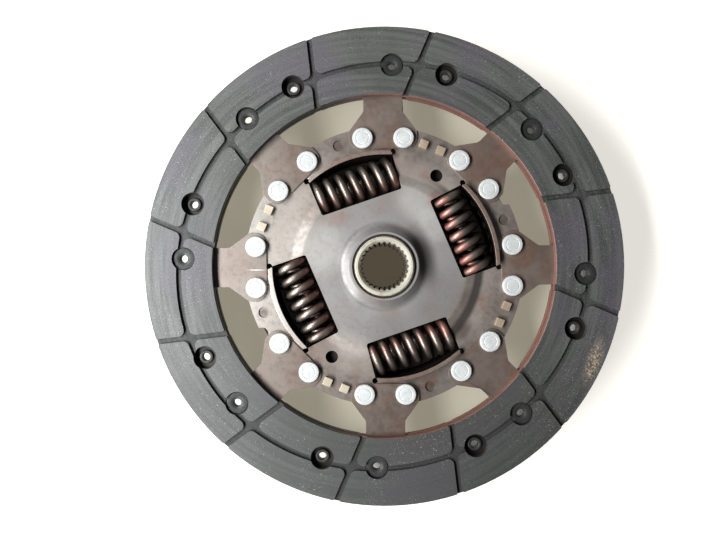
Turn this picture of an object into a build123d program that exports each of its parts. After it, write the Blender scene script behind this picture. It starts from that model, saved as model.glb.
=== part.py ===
from build123d import *
from math import asin, atan2, ceil, cos, degrees, hypot, radians, sin, sqrt, tan
import os

# Sprung clutch disc. Millimetres and degrees. The hub axis is Z: the long rear end of the hub
# stands at z = 0 and +Z runs to its short front end. Angles turn anticlockwise from +X, seen
# from the front. Heights named "from the middle" are counted from the middle of the hub flange.

# ---- Driving dimensions ----

# Hub and spline
hub_length = 27.0
hub_rear_reach = 15.0           # rear end to the middle of the flange
hub_nose_radius = 14.2
hub_seat_radius = 17.5          # where the flange is staked on
hub_end_chamfer = 0.7
spline_teeth = 28
spline_root_radius = 11.6
spline_tooth_height = 1.2
spline_tooth_share = 0.5        # of the pitch, at half height
spline_flank_lean = 0.2         # each flank leans in by this, root to tip
spline_mouth_chamfer = 1.0

# Hub flange
flange_thickness = 5.6
flange_notch_depth = 3.6
flange_notch_gap = 0.65         # spacer to the floor of its notch

# Guide plates
plate_radius = 67.2
plate_thickness = 2.0
plate_gap = 9.2                 # between the inner faces at the rim
plate_step = 1.2                # the plateau stands proud of the rim by this
plate_step_radius = 42.3        # middle of the sloping step
plate_step_width = 4.4
plate_step_fillet = 7.0
collar_height = 3.1
collar_wall = 0.9
collar_foot = 3.6               # how far the collar spreads at its foot
collar_foot_fillet = 3.0
collar_gap = 1.2                # hub nose to collar, filled by the bush
rear_bore_gap = 1.0

# Damper springs
spring_diameter = 18.8
spring_wire = 4.0
spring_length = 40.2
spring_working_turns = 5.85
spring_closed_turns = 0.35
inner_spring_wire = 2.2
inner_spring_working_turns = 9.5
nested_spring_gap = 0.4
spring_seat_gap = 0.1           # spring end to window edge
spring_angles = (109.0, 23.25, 289.0, 203.5)
nested_spring_angles = (23.25, 203.5)

# Spring windows and their turned-up lips
window_inner_gap = 1.2          # spring, where it comes out of a plate, to the inner edge
flange_window_gap = 0.4         # spring to the inner edge of the flange's window
window_flare = 4.2
window_corner = 1.2
window_corner_gap = 0.5         # spring's end to the outer edge of the flange's window
lip_gap = 2.8                   # spring to lip, measured outwards
lip_edge_distance = 11.9        # plate edge to the lip's outer face
lip_height = 3.6
lip_foot_fillet = 0.8
lip_edge = 0.25                 # rounding of the lip's free edge
relief_radius = 1.35

# Spacers between the guide plates, which are also the stops of the damper
spacer_angle = 68.0
spacer_thickness = 4.0
spacer_shoulder = 0.9
spacer_edge_distance = 5.7      # plate edge to the spacer's middle
tenon_width = 4.2
tenon_spacing = 8.7
tenon_front_reach = 2.0         # proud of the front plate
tenon_rear_reach = 1.2
twist_limit = 10.0              # free twist of the hub, each way

# Cushion segments
segment_count = 8
segment_angle = 0.5             # middle of the first neck
segment_thickness = 0.8
segment_wave = 0.6              # the low half of a paddle lies this much further back
neck_width = 18.9
neck_length = 7.4
paddle_turn = -10.6             # paddle's middle, from the neck's middle
paddle_split = 3.2              # angle left free between two paddles
paddle_edge = 2.4               # paddle's edges inside those of the facing
ear_radius = 6.6
foot_depth = 4.95               # rivets to the foot's straight inner edge
ear_blend = 5.3                 # rounding of the foot's inner corners
neck_blend = 2.6                # rounding where the ears run into the neck
wave_ramp = 6.6                 # half width of the slope between a paddle's two levels
segment_rivet_spread = 9.1      # rivet to the middle of its segment
rivet_edge_distance = 5.0       # plate edge to the rivet circle

# Facings
facing_radius = 114.0
facing_inner_radius = 81.7
facing_thickness = 3.4
facing_edge_chamfer = 0.3
groove_count = 12
groove_width = 2.5
groove_depth = 1.4
groove_angle = 18.4             # outer end of the first groove
groove_lean = 4.7               # inner end, further on by this angle
ring_groove_inset = 0.85        # inside the middle of the facing's width
ring_groove_swing = 2.2         # the ring groove is oval by this, each way
ring_groove_turn = 35.0
block_corner = 2.8
block_rim_corner = 1.0          # where a slot runs out at the facing's edges

# Facing rivets, tubular, headed from the front and from the rear in turn
facing_rivet_inset = 2.15       # inside the middle of the facing's width
front_headed_angle = 42.9
rear_headed_angle = 27.0
counterbore_radius = 5.5
facing_web = 1.3                # facing left under a rivet head
facing_rivet_radius = 2.5
facing_rivet_bore = 1.8
facing_rivet_head = 0.7
facing_rivet_dish = 0.3         # the bore's mouth lies this much below the head's face
facing_rivet_dish_width = 1.4
facing_rivet_tail = 1.1
facing_rivet_roll = 3.3         # radius of the rolled-over tail
facing_rivet_roll_fillet = 0.3

# Segment rivets, solid
rivet_radius = 2.5
rivet_head_radius = 4.9
rivet_head_height = 1.9
rivet_tail_radius = 3.8
rivet_tail_height = 1.2
rivet_head_chamfer = 0.4

# Holes and marks in the front plate
access_hole_radius = 3.0
access_hole_inset = 16.8        # plate edge to the holes' circle
access_hole_angles = (60.0, 240.0)
dimple_radius = 2.6
dimple_depth = 0.7
dimple_inset = 5.2
dimple_angles = (21.2, 110.8, 201.0, 291.2)
rim_notch_radius = 3.1
rim_notch_angles = (29.2, 209.0)

# Friction pack round the hub
bush_flange_inset = 7.3         # inside the inner edge of the flange's windows
friction_washer_thickness = 1.0
thrust_washer_thickness = 0.8
washer_inset = 4.3              # inside the same edge
disc_spring_thickness = 0.5
bush_short = 0.9                # the bush stops this far below the collar's rim

# Clearances
running_gap = 0.05              # between faces that rub
fit_gap = 0.05                  # a rivet, tenon or bush in its hole
stop_gap = 0.3                  # spacer to the side of its notch at the limit
same_radius = 0.01              # radii closer than this count as one when picking edges

# ---- Heights from the middle, and radii that follow ----

flange_face = flange_thickness / 2
rim_inner = plate_gap / 2
rim_outer = rim_inner + plate_thickness
plateau_inner = rim_inner + plate_step
plateau_outer = rim_outer + plate_step
segment_top = rim_outer + segment_thickness
front_facing_back = segment_top
rear_facing_back = rim_outer - segment_wave
collar_bore = hub_nose_radius + collar_gap
lip_outer_radius = plate_radius - lip_edge_distance
lip_inner_radius = lip_outer_radius - plate_thickness
lip_bend = lip_foot_fillet + plate_thickness
spring_centre_radius = lip_inner_radius - lip_gap - spring_diameter / 2
spring_reach_at_plate = sqrt((spring_diameter / 2) ** 2 - plateau_inner ** 2)
window_inner_edge = spring_centre_radius - spring_reach_at_plate - window_inner_gap
flange_window_edge = spring_centre_radius - spring_diameter / 2 - flange_window_gap
flange_window_radius = window_corner_gap + hypot(
    spring_centre_radius + spring_diameter / 2, spring_length / 2)
spacer_radius = plate_radius - spacer_edge_distance
spacer_width = tenon_spacing + tenon_width + 2 * spacer_shoulder
notch_floor_radius = spacer_radius - spacer_thickness / 2 - flange_notch_gap
flange_radius = notch_floor_radius + flange_notch_depth
bush_flange_radius = flange_window_edge - bush_flange_inset
washer_radius = flange_window_edge - washer_inset
rivet_circle = plate_radius - rivet_edge_distance
facing_middle_radius = (facing_radius + facing_inner_radius) / 2
facing_rivet_circle = facing_middle_radius - facing_rivet_inset


# ---- Ways of making a shape ----

def outline(*corners):
    """Closed face from corners (x, y) or (x, y, corner radius)."""
    points = [corner[:2] for corner in corners]
    radii = [corner[2] if len(corner) > 2 else 0 for corner in corners]
    return make_face(FilletPolyline(*points, radius=radii, close=True))


def turned(*corners, arc=360):
    """Solid turned about the hub axis from corners (radius, height) or (radius, height, fillet)."""
    return revolve(Plane.XZ * outline(*corners), axis=Axis.Z, revolution_arc=arc)


def ring(inner, outer, low, high):
    """Plain washer between two radii and two heights."""
    return turned((inner, low), (outer, low), (outer, high), (inner, high))


def at_angle(angle, shape):
    """The shape, turned about the hub axis."""
    return Rot(0, 0, angle) * shape


def at_polar(radius, angle, shape):
    """The shape, set out at a radius and turned about the hub axis."""
    return at_angle(angle, Pos(radius, 0, 0) * shape)


def wedge(half_angle, reach):
    """Flat wedge about +X from the axis, wide enough to cut a ring into sectors."""
    return outline((0, 0), (reach, -reach * tan(radians(half_angle))),
                   (reach, reach * tan(radians(half_angle))))


def through(face, low, high):
    """Prism of a flat face between two heights."""
    return Pos(0, 0, low) * extrude(face, high - low)


def save(shape, node):
    """Write a node, lifted from the flange's middle to its height above the hub's rear end."""
    placed = Pos(0, 0, hub_rear_reach) * shape
    export_step(placed, f"parts/{node}.step")


def group(shapes):
    """Several separate solids in one node."""
    return Compound([solid for shape in shapes for solid in shape.solids()])


# ---- Hub ----

def spline_hub():
    """Hub tube with a staked seat for the flange and straight-sided spline teeth in its bore."""
    rear, front = -hub_rear_reach, hub_length - hub_rear_reach
    tip = spline_root_radius - spline_tooth_height
    mouth = spline_root_radius + spline_mouth_chamfer
    body = turned(
        (tip, rear), (hub_nose_radius, rear), (hub_nose_radius, -flange_face),
        (hub_seat_radius, -flange_face), (hub_seat_radius, flange_face),
        (hub_nose_radius, flange_face), (hub_nose_radius, front), (tip, front),
    )
    ends = body.edges().filter_by(GeomType.CIRCLE).filter_by(
        lambda edge: abs(edge.radius - hub_nose_radius) < same_radius
        and edge.center().Z in (rear, front)
    )
    body = chamfer(ends, hub_end_chamfer)
    pitch = 360 / spline_teeth
    half_gap = radians(pitch * (1 - spline_tooth_share)) * (tip + spline_root_radius) / 4
    space = outline(
        (tip - spline_tooth_height, -half_gap - spline_flank_lean),
        (spline_root_radius, -half_gap + spline_flank_lean / 2),
        (spline_root_radius, half_gap - spline_flank_lean / 2),
        (tip - spline_tooth_height, half_gap + spline_flank_lean),
    )
    spaces = [at_angle(i * pitch, through(space, rear, front)) for i in range(spline_teeth)]
    mouths = [
        turned((0, end), (mouth, end), (0, end - side * mouth))
        for side, end in ((-1, rear), (1, front))
    ]
    return body - spaces - mouths


def window(inner_edge, outer_radius, corner):
    """Spring window about +X: straight inner edge, flared sides, outer edge round the hub."""
    half = spring_length / 2 + spring_seat_gap
    reach = outer_radius + spring_diameter
    spread = half + (reach - inner_edge) * tan(radians(window_flare))
    cut = outline((inner_edge, -half, corner), (inner_edge, half, corner),
                  (reach, spread), (reach, -spread))
    return cut & Circle(outer_radius)


def hub_flange():
    """Flange with the four spring windows and four notches for the spacers."""
    side = degrees(asin((spacer_width / 2 + stop_gap) / notch_floor_radius)) + twist_limit
    face = Circle(flange_radius) - Circle(hub_seat_radius)
    notch = wedge(side, 2 * flange_radius) - Circle(notch_floor_radius)
    face = face - [at_angle(spacer_angle + 90 * i, notch) for i in range(4)]
    opening = window(flange_window_edge, flange_window_radius, window_corner)
    face = face - [at_angle(angle, opening) for angle in spring_angles]
    return through(face, -flange_face, flange_face)


# ---- Guide plates ----

def plate_sheet(hub_side):
    """Pressed sheet with its outer face up, before the openings; hub_side shapes its middle."""
    half_step = plate_step_width / 2
    slope = atan2(plate_step, plate_step_width)
    shift = plate_thickness * tan(slope / 2)
    return turned(
        (plate_radius, rim_inner), (plate_radius, rim_outer),
        (plate_step_radius + half_step, rim_outer, plate_step_fillet),
        (plate_step_radius - half_step, plateau_outer, plate_step_fillet),
        *hub_side,
        (plate_step_radius - half_step - shift, plateau_inner, plate_step_fillet),
        (plate_step_radius + half_step - shift, rim_inner, plate_step_fillet),
    )


def lip(half_angle):
    """Edge of a window turned up over the spring, as an arc about +X."""
    foot = lip_outer_radius + lip_bend
    top = rim_outer + lip_height
    arc = turned(
        (foot, rim_inner), (lip_inner_radius, rim_inner, lip_bend),
        (lip_inner_radius, top, lip_edge), (lip_outer_radius, top, lip_edge),
        (lip_outer_radius, rim_outer, lip_foot_fillet), (foot, rim_outer),
        arc=2 * half_angle,
    )
    return at_angle(-half_angle, arc)


def with_windows(sheet):
    """Cut the spring windows, turn up their lips and cut the reliefs at the lips' ends."""
    low, high = rim_inner - plate_thickness, rim_outer + lip_height + plate_thickness
    bend_radius = lip_inner_radius + lip_bend
    opening = window(window_inner_edge, bend_radius, window_corner)
    flare = tan(radians(window_flare))
    side = spring_length / 2 + spring_seat_gap + (lip_inner_radius - window_inner_edge) * flare
    lip_angle = degrees(asin(side / bend_radius))
    relief_angle = lip_angle + degrees(relief_radius / 2 / lip_outer_radius)
    hole = through(Circle(relief_radius), low, high)
    for angle in spring_angles:
        sheet = sheet - at_angle(angle, through(opening, low, high))
        sheet = sheet + at_angle(angle, lip(lip_angle))
        for sign in (-1, 1):
            sheet = sheet - at_polar(lip_outer_radius, angle + sign * relief_angle, hole)
    return sheet


def with_tenon_slots(sheet):
    """Cut the square holes that take the spacers' tenons."""
    slot = Rectangle(spacer_thickness + 2 * fit_gap, tenon_width + 2 * fit_gap)
    cut = through(slot, rim_inner - plate_thickness, rim_outer + plate_thickness)
    pair = [Pos(spacer_radius, sign * tenon_spacing / 2, 0) * cut for sign in (-1, 1)]
    for i in range(4):
        sheet = sheet - [at_angle(spacer_angle + 90 * i, one) for one in pair]
    return sheet


def segment_rivet_angles():
    """Angles of the rivets that hold the segments, two to a segment."""
    pitch = 360 / segment_count
    return [segment_angle + pitch * i + sign * segment_rivet_spread
            for i in range(segment_count) for sign in (-1, 1)]


def front_guide_plate():
    """Front plate: drawn collar round the hub, rivet holes, access holes, dimples, notches."""
    top = plateau_outer + collar_height
    rim = collar_bore + collar_wall
    foot = rim + collar_foot
    slope = atan2(collar_height, collar_foot)
    flare = foot + plate_thickness / tan(slope) - plate_thickness / sin(slope)
    flare_top = plateau_inner + (flare - collar_bore) * tan(slope)
    sheet = plate_sheet((
        (foot, plateau_outer, collar_foot_fillet), (rim, top), (collar_bore, top),
        (collar_bore, flare_top), (flare, plateau_inner, collar_foot_fillet + plate_thickness),
    ))
    sheet = with_tenon_slots(with_windows(sheet))
    low, high = rim_inner - plate_thickness, plateau_outer + plate_thickness
    rivet_hole = through(Circle(rivet_radius + fit_gap), low, high)
    sheet = sheet - [at_polar(rivet_circle, a, rivet_hole) for a in segment_rivet_angles()]
    access = through(Circle(access_hole_radius), low, high)
    sheet = sheet - [at_polar(plate_radius - access_hole_inset, a, access)
                     for a in access_hole_angles]
    dimple = through(Circle(dimple_radius), rim_outer - dimple_depth, high)
    sheet = sheet - [at_polar(plate_radius - dimple_inset, a, dimple) for a in dimple_angles]
    notch = through(Circle(rim_notch_radius), low, high)
    return sheet - [at_polar(plate_radius, a, notch) for a in rim_notch_angles]


def rear_guide_plate():
    """Rear plate: the same pressing with a plain bore, facing the other way."""
    bore = hub_nose_radius + rear_bore_gap
    sheet = plate_sheet(((bore, plateau_outer), (bore, plateau_inner)))
    return mirror(with_tenon_slots(with_windows(sheet)), about=Plane.XY)


def spacer(angle):
    """Flat stop plate with two tenons at each end, riveted over in the guide plates."""
    front, rear = rim_outer + tenon_front_reach, -rim_outer - tenon_rear_reach
    body = through(Rectangle(spacer_thickness, spacer_width), -rim_inner, rim_inner)
    for sign in (-1, 1):
        tenon = through(Rectangle(spacer_thickness, tenon_width), rear, front)
        body = body + Pos(0, sign * tenon_spacing / 2, 0) * tenon
    return at_polar(spacer_radius, angle, body)


# ---- Springs ----

def coil_spring(diameter, wire, working_turns, closed_turns, hand, sides, runs_per_turn):
    """Coil spring along Z about the origin, closed and ground at both ends.

    The wire follows straight runs, mitred where they meet. Each end's closed turns lie wire to
    wire, and the working turns share the length that is left.
    """
    mean_radius = (diameter - wire) / 2
    height = spring_length - wire / 2
    turns = working_turns + 2 * closed_turns
    lead = (height - 2 * closed_turns * wire) / working_turns
    runs = ceil(turns * runs_per_turn)
    points = []
    for i in range(runs + 1):
        turn = turns * i / runs
        closed = min(turn, closed_turns) + max(0, turn - closed_turns - working_turns)
        rise = closed * wire + (turn - closed) * lead
        angle = radians(360 * (turn - turns / 2)) * hand
        points.append((mean_radius * cos(angle), mean_radius * sin(angle), rise - height / 2))
    path = Polyline(*points)
    start = Plane(origin=points[0], x_dir=(points[0][0], points[0][1], 0),
                  z_dir=Vector(*points[1]) - Vector(*points[0]))
    wound = sweep(start * RegularPolygon(wire / 2, sides), path=path,
                  transition=Transition.RIGHT)
    return wound & Box(2 * diameter, 2 * diameter, spring_length)


def in_window(spring, angle):
    """A spring laid in its window: its axis square to the radius at the given angle."""
    return at_polar(spring_centre_radius, angle, Rot(90, 0, 0) * Rot(0, 0, 90) * spring)


# ---- Cushion segments ----

def cushion_segment():
    """One spring-steel segment about +X: riveted foot, neck, and a waved paddle between facings."""
    ear_x = rivet_circle * cos(radians(segment_rivet_spread))
    ear_y = rivet_circle * sin(radians(segment_rivet_spread)) + ear_radius
    foot = ear_x - foot_depth
    neck_start = facing_inner_radius - neck_length
    half_neck = neck_width / 2
    paddle_inner = facing_inner_radius + paddle_edge
    half_paddle = (360 / segment_count - paddle_split) / 2
    shoulder = ear_x + ear_radius / 2
    foot_and_neck = outline(
        (foot, -ear_y, ear_blend), (foot, ear_y, ear_blend), (shoulder, ear_y, neck_blend),
        (neck_start, half_neck, neck_blend), (paddle_inner + paddle_edge, half_neck),
        (paddle_inner + paddle_edge, -half_neck), (neck_start, -half_neck, neck_blend),
        (shoulder, -ear_y, neck_blend),
    )
    blade = wedge(half_paddle, 2 * facing_radius) & (
        Circle(facing_radius - paddle_edge) - Circle(paddle_inner))
    blade = fillet(blade.vertices(), paddle_edge)
    low, high = rim_outer - segment_wave, segment_top
    span = facing_radius
    wave = make_face(Plane.YZ * Polyline(
        (-span, low), (-wave_ramp, low), (wave_ramp / 2, rim_outer), (span, rim_outer),
        (span, high), (wave_ramp / 2, high), (-wave_ramp, high - segment_wave),
        (-span, high - segment_wave), close=True))
    waved = through(blade, low, high) & extrude(wave, 2 * facing_radius, dir=(1, 0, 0))
    sheet = through(foot_and_neck, rim_outer, high) + at_angle(paddle_turn, waved)
    foot_rivet = through(Circle(rivet_radius + fit_gap), low, high)
    sheet = sheet - [at_polar(rivet_circle, sign * segment_rivet_spread, foot_rivet)
                     for sign in (-1, 1)]
    pitch = 360 / segment_count
    facing_rivet = through(Circle(facing_rivet_radius + fit_gap), low, high)
    for angle in (front_headed_angle, rear_headed_angle):
        own = (angle - segment_angle - paddle_turn + pitch / 2) % pitch - pitch / 2 + paddle_turn
        sheet = sheet - at_polar(facing_rivet_circle, own, facing_rivet)
    return sheet


# ---- Facings and rivets ----

def slot_corners(blocks, at_rims):
    """Corners of the blocks beside a slot: those on the facing's rims, or those between them."""
    rims = (facing_inner_radius, facing_radius)
    corners = blocks.edges().filter_by(GeomType.LINE).vertices()
    return [corner for corner in corners
            if at_rims == any(abs(hypot(corner.X, corner.Y) - rim) < same_radius for rim in rims)]


def groove_network():
    """Flat face of the grooves: what leaning slots and one oval ring leave between round blocks."""
    half = groove_width / 2
    middle = facing_middle_radius - ring_groove_inset
    outer_oval = Ellipse(middle + ring_groove_swing + half, middle - ring_groove_swing + half)
    inner_oval = Ellipse(middle + ring_groove_swing - half, middle - ring_groove_swing - half)
    groove = at_angle(ring_groove_turn, outer_oval - inner_oval)
    ends = [(facing_radius, 0), (facing_inner_radius, groove_lean)]
    out, inn = [Vector(r * cos(radians(a)), r * sin(radians(a))) for r, a in ends]
    along = (inn - out).normalized()
    across = Vector(-along.Y, along.X) * half
    run_out = along * (facing_radius - facing_inner_radius) / 4
    out, inn = out - run_out, inn + run_out
    slot = make_face(Polyline(*[(p.X, p.Y) for p in (out + across, out - across,
                                                     inn - across, inn + across)], close=True))
    blocks = Circle(facing_radius) - Circle(facing_inner_radius) - groove
    pitch = 360 / groove_count
    blocks = blocks - [at_angle(groove_angle + pitch * i, slot) for i in range(groove_count)]
    blocks = fillet(slot_corners(blocks, at_rims=False), block_corner)
    blocks = fillet(slot_corners(blocks, at_rims=True), block_rim_corner)
    margin = 2 * groove_width
    return Circle(facing_radius + margin) - Circle(facing_inner_radius - margin) - blocks


def facing(grooves, own_angle, other_angle):
    """Friction ring with its back at z = 0: own rivets sunk, the other ring's rivets cleared."""
    edge = facing_edge_chamfer
    body = turned(
        (facing_inner_radius, 0), (facing_radius, 0), (facing_radius, facing_thickness - edge),
        (facing_radius - edge, facing_thickness), (facing_inner_radius + edge, facing_thickness),
        (facing_inner_radius, facing_thickness - edge),
    )
    body = body - through(grooves, facing_thickness - groove_depth, 2 * facing_thickness)
    pitch = 360 / segment_count
    below, above = -facing_thickness, 2 * facing_thickness
    sink = through(Circle(counterbore_radius), facing_web, above)
    shank = through(Circle(facing_rivet_radius + fit_gap), below, above)
    clear = through(Circle(counterbore_radius), below, above)
    holes = []
    for i in range(segment_count):
        holes += [at_polar(facing_rivet_circle, own_angle + pitch * i, own)
                  for own in (sink, shank)]
        holes.append(at_polar(facing_rivet_circle, other_angle + pitch * i, clear))
    return body - holes


def facing_rivets(angle, under_head, tail_face):
    """Tubular rivets, head up: a flat flange, a hollow shank and a rolled-over tail."""
    head_radius = counterbore_radius - running_gap - stop_gap
    top = under_head + facing_rivet_head
    rivet = turned(
        (facing_rivet_bore, tail_face - facing_rivet_tail, facing_rivet_roll_fillet),
        (facing_rivet_roll, tail_face - facing_rivet_tail, facing_rivet_roll_fillet),
        (facing_rivet_roll, tail_face), (facing_rivet_radius, tail_face),
        (facing_rivet_radius, under_head), (head_radius, under_head),
        (head_radius, top), (facing_rivet_bore + facing_rivet_dish_width, top),
        (facing_rivet_bore, top - facing_rivet_dish),
    )
    pitch = 360 / segment_count
    return group([at_polar(facing_rivet_circle, angle + pitch * i, rivet)
                  for i in range(segment_count)])


def segment_rivets():
    """Solid rivets with large flat heads, from the segments' front to behind the front plate."""
    rivet = turned(
        (0, rim_inner - rivet_tail_height), (rivet_tail_radius, rim_inner - rivet_tail_height),
        (rivet_tail_radius, rim_inner), (rivet_radius, rim_inner), (rivet_radius, segment_top),
        (rivet_head_radius, segment_top),
        (rivet_head_radius, segment_top + rivet_head_height - rivet_head_chamfer),
        (rivet_head_radius - rivet_head_chamfer, segment_top + rivet_head_height),
        (0, segment_top + rivet_head_height),
    )
    return group([at_polar(rivet_circle, angle, rivet) for angle in segment_rivet_angles()])


# ---- Friction pack ----

def centring_bush():
    """Bush that centres the front plate on the hub: a flange inside, a sleeve in the collar."""
    bore = hub_nose_radius + running_gap
    sleeve = collar_bore - running_gap
    return turned(
        (bore, flange_face + running_gap), (bush_flange_radius, flange_face + running_gap),
        (bush_flange_radius, plateau_inner), (collar_bore + plate_thickness, plateau_inner),
        (sleeve, plateau_inner - running_gap),
        (sleeve, plateau_outer + collar_height - bush_short),
        (bore, plateau_outer + collar_height - bush_short),
    )


def disc_spring(top):
    """Shallow cone that presses the washers on to the hub flange."""
    bore = hub_seat_radius
    low = -plateau_inner
    return turned(
        (bore, low), (washer_radius, top - disc_spring_thickness),
        (washer_radius, top), (bore, low + disc_spring_thickness),
    )


# ---- Build ----

def build():
    """Make every piece and write it."""
    os.makedirs("parts", exist_ok=True)
    save(spline_hub(), "spline_hub")
    save(hub_flange(), "hub_flange")
    save(front_guide_plate(), "front_guide_plate")
    save(rear_guide_plate(), "rear_guide_plate")
    for i in range(4):
        save(spacer(spacer_angle + 90 * i), f"spacer_{i + 1}")

    outer = coil_spring(spring_diameter, spring_wire, spring_working_turns,
                        spring_closed_turns, hand=1, sides=8, runs_per_turn=12)
    inner_diameter = spring_diameter - 2 * spring_wire - 2 * nested_spring_gap
    inner = coil_spring(inner_diameter, inner_spring_wire, inner_spring_working_turns,
                        spring_closed_turns, hand=-1, sides=6, runs_per_turn=10)
    for i, angle in enumerate(spring_angles):
        save(in_window(outer, angle), f"damper_spring_{i + 1}")
    for i, angle in enumerate(nested_spring_angles):
        save(in_window(inner, angle), f"inner_spring_{i + 1}")

    segment = cushion_segment()
    for i in range(segment_count):
        turn = segment_angle + 360 / segment_count * i
        save(at_angle(turn, segment), f"cushion_segment_{i + 1}")

    grooves = groove_network()
    front = facing(grooves, front_headed_angle, rear_headed_angle)
    rear = facing(grooves, rear_headed_angle, front_headed_angle)
    save(Pos(0, 0, front_facing_back) * front, "front_facing")
    save(Pos(0, 0, rear_facing_back) * mirror(rear, about=Plane.XY), "rear_facing")
    save(facing_rivets(front_headed_angle, front_facing_back + facing_web, rim_outer),
         "front_facing_rivets")
    rear_rivets = facing_rivets(rear_headed_angle, facing_web - rear_facing_back,
                                -(segment_top - segment_wave))
    save(mirror(rear_rivets, about=Plane.XY), "rear_facing_rivets")
    save(segment_rivets(), "segment_rivets")

    save(centring_bush(), "centring_bush")
    washer_bore = hub_nose_radius + running_gap
    friction_top = -flange_face - running_gap
    thrust_top = friction_top - friction_washer_thickness
    thrust_bottom = thrust_top - thrust_washer_thickness
    save(ring(washer_bore, washer_radius, thrust_top, friction_top), "friction_washer")
    save(ring(washer_bore, washer_radius, thrust_bottom, thrust_top), "thrust_washer")
    save(disc_spring(thrust_bottom), "disc_spring")


build()
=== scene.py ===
import math

import bmesh
import bpy
import numpy as np
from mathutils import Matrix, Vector


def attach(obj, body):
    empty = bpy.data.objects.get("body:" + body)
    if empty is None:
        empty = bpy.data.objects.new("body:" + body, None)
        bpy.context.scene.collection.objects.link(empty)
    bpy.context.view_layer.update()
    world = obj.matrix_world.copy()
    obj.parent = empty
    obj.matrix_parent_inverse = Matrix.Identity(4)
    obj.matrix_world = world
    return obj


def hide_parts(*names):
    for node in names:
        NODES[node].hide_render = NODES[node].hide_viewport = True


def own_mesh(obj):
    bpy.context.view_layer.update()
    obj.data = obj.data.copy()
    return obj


# Looks for the clutch disc. Lengths are metres in the row frame, names ending in _MM are
# millimetres, and names ending in _DEG are degrees, anticlockwise from +X. +Z is the side that
# shows the turned-up window lips and the white rivet heads. Heights are above the floor, or
# from the middle of the hub's flange where their comment says so.

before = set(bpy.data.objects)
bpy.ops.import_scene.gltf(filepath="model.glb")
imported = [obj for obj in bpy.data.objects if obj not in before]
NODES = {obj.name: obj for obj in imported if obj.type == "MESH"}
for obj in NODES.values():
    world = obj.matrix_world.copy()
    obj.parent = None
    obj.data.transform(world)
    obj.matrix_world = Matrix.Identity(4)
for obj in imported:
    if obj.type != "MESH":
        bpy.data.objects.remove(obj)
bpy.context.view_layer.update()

# ---- Sizes shared with the solids ----

MIDDLE_MM = 15.0                        # height of the middle of the hub's flange
FACING_TOP_MM = MIDDLE_MM + 10.8

SPRING_DEG = (109.0, 23.25, 289.0, 203.5)
NESTED_DEG = (23.25, 203.5)
SPRING_LENGTH_MM = 40.2
SPRING_MM = dict(diameter=18.8, thickness=4.0, working=5.85, closed=0.35, hand=1)
NESTED_MM = dict(diameter=10.0, thickness=2.2, working=9.5, closed=0.35, hand=-1)
SPRING_CIRCLE_MM = 41.4                 # 0.3 outside the solids, clear at both ends of the twist

FLANGE_EDGE_MM = 31.3                   # axis to the inner edge of the flange's windows
ROOM_MM = 1.2                           # how far that edge is lowered for the coils
ROOM_FADE_MM = 4.0                      # and how far above it the lowering ends
ROOM_BESIDE_MM = SPRING_LENGTH_MM / 2 + 2

SEGMENT_RIVET_CIRCLE_MM = 62.2
SEGMENT_RIVET_DEG = [0.5 + 45 * i + side * 9.1 for i in range(8) for side in (-1, 1)]
FACING_RIVET_CIRCLE_MM = 95.7
FRONT_HEADED_DEG = [42.9 + 45 * i for i in range(8)]
REAR_HEADED_DEG = [27.0 + 45 * i for i in range(8)]

LIP_INNER_MM = 53.3                     # radii of a window lip's walls
LIP_OUTER_MM = 55.3
INSIDE_FACE_MM = 4.6                    # from the flange's middle: a guide plate's inner face,
RIM_FACE_MM = 6.6                       # its outer face at the rim
LIP_TIP_MM = 10.2                       # and the tip of its lips
WINDOW_HALF_DEG = 30                    # no other hole of a plate is this near to a spring

DIMPLE_CIRCLE_MM = 62.0
DIMPLE_DEG = (21.2, 110.8, 201.0, 291.2)
DIMPLE_STAIN_MM = (3.4, 3.4)

# ---- Making shapes ----

WELD_M = 2e-6                           # points nearer than this are one point
FLAT_DEG = 0.12                         # faces that bend less than this are one face


def mesh_object(name, points_mm, faces, smooth_deg=35):
    """New object at the origin from points in millimetres."""
    mesh = bpy.data.meshes.new(name)
    mesh.from_pydata((np.asarray(points_mm, float) / 1000).tolist(), [], faces)
    mesh.update()
    return shown(name, mesh, smooth_deg)


def shown(name, mesh, smooth_deg=35):
    """Object for a finished mesh, shaded smooth except across edges sharper than the angle."""
    piece = bpy.data.objects.new(name, mesh)
    bpy.context.scene.collection.objects.link(piece)
    mesh.polygons.foreach_set("use_smooth", np.ones(len(mesh.polygons), bool))
    mesh.set_sharp_from_angle(angle=math.radians(smooth_deg))
    return piece


def places_mm(mesh):
    """The mesh's points, a row of (x, y, z) for each."""
    places = np.empty(3 * len(mesh.vertices))
    mesh.vertices.foreach_get("co", places)
    return places.reshape(-1, 3) * 1000


def give_points(piece, name, values):
    """Attribute with one value for each point, which a material reads by its name."""
    layer = piece.data.attributes.new(name, "FLOAT", "POINT")
    layer.data.foreach_set("value", np.asarray(values).ravel().astype(np.float32))


def turn_about_z(degrees):
    """Matrix that turns a point anticlockwise about Z."""
    a = math.radians(degrees)
    return np.array([[math.cos(a), -math.sin(a), 0], [math.sin(a), math.cos(a), 0], [0, 0, 1]])


def grid_faces(rows, columns, closed):
    """Quads of a grid of points whose columns run round.

    closed joins the last row to the first.
    """
    row = np.arange(rows if closed else rows - 1)[:, None]
    column = np.arange(columns)[None]
    next_row, next_column = (row + 1) % rows, (column + 1) % columns
    corners = (row * columns + column, next_row * columns + column,
               next_row * columns + next_column, row * columns + next_column)
    return np.stack(corners, -1).reshape(-1, 4)


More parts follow.
